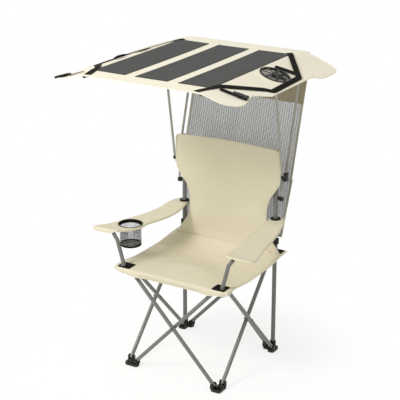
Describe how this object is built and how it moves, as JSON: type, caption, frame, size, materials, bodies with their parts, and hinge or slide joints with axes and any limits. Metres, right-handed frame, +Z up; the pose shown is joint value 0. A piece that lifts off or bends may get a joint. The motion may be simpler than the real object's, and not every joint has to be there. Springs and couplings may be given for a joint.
{
  "type": "folding sunshade chair",
  "caption": "Folding camp chair on crossed tube legs with a cloth seat, arms, a net cup holder and a tilting canopy with solar strips and a fan.",
  "frame": {"origin": "on the floor under the middle of the chair's bounding box", "axes": "+Z up, the sitter faces -Y, +X to the right as seen from the front"},
  "size_m": [0.8898, 0.8727, 1.2855],
  "materials": {
    "tube_steel": "satin grey coat",
    "rivet_steel": "plain",
    "black_plastic": "moulded, matte",
    "cream_cloth": "woven",
    "net_cloth": "open knit",
    "solar_laminate": "satin"
  },
  "bodies": {
    "rear_right": {"foot_rear_right": "black_plastic", "upright_right": "tube_steel", "mast_right": "tube_steel", "mast_clip_right": "black_plastic", "pivot_block_right": "black_plastic", "backrest": "cream_cloth", "curtain_lower": "net_cloth"},
    "rear_left": {"foot_rear_left": "black_plastic", "upright_left": "tube_steel", "mast_left": "tube_steel", "mast_clip_left": "black_plastic", "pivot_block_left": "black_plastic"},
    "front_right_foot": {"foot_front_right": "black_plastic"},
    "front_left_foot": {"foot_front_left": "black_plastic"},
    "front_right_hub": {"hub_front_right": "black_plastic", "post_right": "tube_steel"},
    "front_left_hub": {"hub_front_left": "black_plastic", "post_left": "tube_steel"},
    "rear_right_slider": {"slider_rear_right": "black_plastic", "sleeve_rear_right": "tube_steel"},
    "rear_left_slider": {"slider_rear_left": "black_plastic", "sleeve_rear_left": "tube_steel"},
    "right_arm": {"arm_right": "cream_cloth"},
    "right_eyelet": {"eyelet_right": "black_plastic"},
    "left_eyelet": {"eyelet_left": "black_plastic"},
    "left_arm": {"arm_left": "cream_cloth", "cup_rim": "black_plastic", "cup_basket": "net_cloth"},
    "seat_front_half": {"seat_front": "cream_cloth"},
    "seat_rear_half": {"seat_rear": "cream_cloth"},
    "canopy_right": {"pivot_hub_right": "black_plastic", "rod_front_right": "tube_steel", "rod_rear_right": "tube_steel", "rail_right": "tube_steel", "canopy_cover": "cream_cloth", "solar_strips": "solar_laminate", "fan_housing": "black_plastic", "fan_motor": "black_plastic", "curtain_upper": "net_cloth"},
    "canopy_left": {"pivot_hub_left": "black_plastic", "rod_front_left": "tube_steel", "rod_rear_left": "tube_steel", "rail_left": "tube_steel"},
    "fan_blades": {"fan_rotor": "black_plastic"},
    "front_outer_leg": {"leg_front_outer": "tube_steel", "rivets_front_outer": "rivet_steel"},
    "front_inner_leg": {"leg_front_inner": "tube_steel", "rivets_front_inner": "rivet_steel"},
    "right_outer_leg": {"leg_right_outer": "tube_steel", "rivets_right_outer": "rivet_steel"},
    "right_inner_leg": {"leg_right_inner": "tube_steel", "rivets_right_inner": "rivet_steel"},
    "rear_outer_leg": {"leg_rear_outer": "tube_steel", "rivets_rear_outer": "rivet_steel"},
    "rear_inner_leg": {"leg_rear_inner": "tube_steel", "rivets_rear_inner": "rivet_steel"},
    "left_outer_leg": {"leg_left_outer": "tube_steel", "rivets_left_outer": "rivet_steel"},
    "left_inner_leg": {"leg_left_inner": "tube_steel", "rivets_left_inner": "rivet_steel"}
  },
  "joints": [
    {"name": "frame_fold", "type": "hinge", "parent": "rear_right", "child": "right_outer_leg", "pos_m": [0.229, 0.20136, 0.025], "axis": [-1, 0, 0], "range_deg": [0, 38], "deforming": ["seat_front", "seat_rear", "backrest", "arm_right", "arm_left", "cup_rim", "cup_basket", "canopy_cover", "solar_strips", "curtain_upper", "curtain_lower"]},
    {"name": "right_cross", "type": "hinge", "parent": "right_outer_leg", "child": "right_inner_leg", "pos_m": [0.22, 0.01136, 0.2275], "axis": [1, 0, 0], "range_deg": [0, 76]},
    {"name": "front_right_foot_pin", "type": "hinge", "parent": "right_inner_leg", "child": "front_right_foot", "pos_m": [0.211, -0.17864, 0.025], "axis": [-1, 0, 0], "range_deg": [0, 38]},
    {"name": "rear_right_slider_pin", "type": "hinge", "parent": "right_inner_leg", "child": "rear_right_slider", "pos_m": [0.211, 0.20136, 0.43], "axis": [-1, 0, 0], "range_deg": [0, 38]},
    {"name": "front_right_hub_pin", "type": "hinge", "parent": "right_outer_leg", "child": "front_right_hub", "pos_m": [0.229, -0.17864, 0.43], "axis": [1, 0, 0], "range_deg": [0, 38]},
    {"name": "rear_leg_pin", "type": "hinge", "parent": "rear_right", "child": "rear_inner_leg", "pos_m": [0.19, 0.22236, 0.025], "axis": [0, 1, 0], "range_deg": [0, 38]},
    {"name": "rear_cross", "type": "hinge", "parent": "rear_inner_leg", "child": "rear_outer_leg", "pos_m": [0, 0.23136, 0.2275], "axis": [0, -1, 0], "range_deg": [0, 76]},
    {"name": "rear_left_foot_pin", "type": "hinge", "parent": "rear_outer_leg", "child": "rear_left", "pos_m": [-0.19, 0.24036, 0.025], "axis": [0, 1, 0], "range_deg": [0, 38]},
    {"name": "rear_left_slider_pin", "type": "hinge", "parent": "rear_inner_leg", "child": "rear_left_slider", "pos_m": [-0.19, 0.22236, 0.43], "axis": [0, -1, 0], "range_deg": [0, 38]},
    {"name": "left_leg_pin", "type": "hinge", "parent": "rear_left", "child": "left_inner_leg", "pos_m": [-0.211, 0.20136, 0.025], "axis": [-1, 0, 0], "range_deg": [0, 38]},
    {"name": "left_cross", "type": "hinge", "parent": "left_inner_leg", "child": "left_outer_leg", "pos_m": [-0.22, 0.01136, 0.2275], "axis": [1, 0, 0], "range_deg": [0, 76]},
    {"name": "front_left_foot_pin", "type": "hinge", "parent": "left_outer_leg", "child": "front_left_foot", "pos_m": [-0.229, -0.17864, 0.025], "axis": [-1, 0, 0], "range_deg": [0, 38]},
    {"name": "front_left_hub_pin", "type": "hinge", "parent": "left_inner_leg", "child": "front_left_hub", "pos_m": [-0.211, -0.17864, 0.43], "axis": [1, 0, 0], "range_deg": [0, 38]},
    {"name": "front_leg_pin", "type": "hinge", "parent": "front_right_foot", "child": "front_outer_leg", "pos_m": [0.19, -0.21764, 0.025], "axis": [0, 1, 0], "range_deg": [0, 38]},
    {"name": "front_cross", "type": "hinge", "parent": "front_outer_leg", "child": "front_inner_leg", "pos_m": [0, -0.20864, 0.2275], "axis": [0, -1, 0], "range_deg": [0, 76]},
    {"name": "right_arm_pin", "type": "hinge", "parent": "front_right_hub", "child": "right_arm", "pos_m": [0.266, -0.21964, 0.588], "axis": [-1, 0, 0], "range_deg": [0, 28.69]},
    {"name": "left_arm_pin", "type": "hinge", "parent": "front_left_hub", "child": "left_arm", "pos_m": [-0.266, -0.21964, 0.588], "axis": [-1, 0, 0], "range_deg": [0, 28.69]},
    {"name": "right_eyelet_slide", "type": "slide", "parent": "rear_right", "child": "right_eyelet", "axis": [0, 0, 1], "range_m": [0, 0.08]},
    {"name": "left_eyelet_slide", "type": "slide", "parent": "rear_left", "child": "left_eyelet", "axis": [0, 0, 1], "range_m": [0, 0.08]},
    {"name": "seat_front_fold", "type": "hinge", "parent": "front_right_hub", "child": "seat_front_half", "pos_m": [0, -0.20864, 0.454], "axis": [-1, 0, 0], "range_deg": [0, 75.05]},
    {"name": "seat_rear_fold", "type": "hinge", "parent": "rear_right_slider", "child": "seat_rear_half", "pos_m": [0, 0.23136, 0.454], "axis": [1, 0, 0], "range_deg": [0, 75.05]},
    {"name": "canopy_tilt", "type": "hinge", "parent": "rear_right", "child": "canopy_right", "pos_m": [0.256, 0.23336, 0.785], "axis": [-1, 0, 0], "range_deg": [0, 40]},
    {"name": "canopy_tilt_left", "type": "hinge", "parent": "rear_left", "child": "canopy_left", "pos_m": [-0.256, 0.23336, 0.785], "axis": [-1, 0, 0], "range_deg": [0, 40]},
    {"name": "fan_spin", "type": "hinge", "parent": "canopy_right", "child": "fan_blades", "pos_m": [0.324, -0.00064, 1.26356], "axis": [0.3082, 0, 0.9513], "continuous": true}
  ],
  "couplings": [
    {"joint": "right_cross", "follows": "frame_fold", "ratio": 2},
    {"joint": "front_right_foot_pin", "follows": "frame_fold", "ratio": 1},
    {"joint": "rear_right_slider_pin", "follows": "frame_fold", "ratio": 1},
    {"joint": "front_right_hub_pin", "follows": "frame_fold", "ratio": 1},
    {"joint": "rear_leg_pin", "follows": "frame_fold", "ratio": 1},
    {"joint": "rear_cross", "follows": "frame_fold", "ratio": 2},
    {"joint": "rear_left_foot_pin", "follows": "frame_fold", "ratio": 1},
    {"joint": "rear_left_slider_pin", "follows": "frame_fold", "ratio": 1},
    {"joint": "left_leg_pin", "follows": "frame_fold", "ratio": 1},
    {"joint": "left_cross", "follows": "frame_fold", "ratio": 2},
    {"joint": "front_left_foot_pin", "follows": "frame_fold", "ratio": 1},
    {"joint": "front_left_hub_pin", "follows": "frame_fold", "ratio": 1},
    {"joint": "front_leg_pin", "follows": "frame_fold", "ratio": 1},
    {"joint": "front_cross", "follows": "frame_fold", "ratio": 2},
    {"joint": "right_arm_pin", "follows": "frame_fold", "ratio": 0.755},
    {"joint": "left_arm_pin", "follows": "frame_fold", "ratio": 0.755},
    {"joint": "right_eyelet_slide", "follows": "frame_fold", "m_per_rad": 0.119},
    {"joint": "left_eyelet_slide", "follows": "frame_fold", "m_per_rad": 0.119},
    {"joint": "seat_front_fold", "follows": "frame_fold", "ratio": 1.975},
    {"joint": "seat_rear_fold", "follows": "frame_fold", "ratio": 1.975},
    {"joint": "canopy_tilt_left", "follows": "canopy_tilt", "ratio": 1}
  ]
}
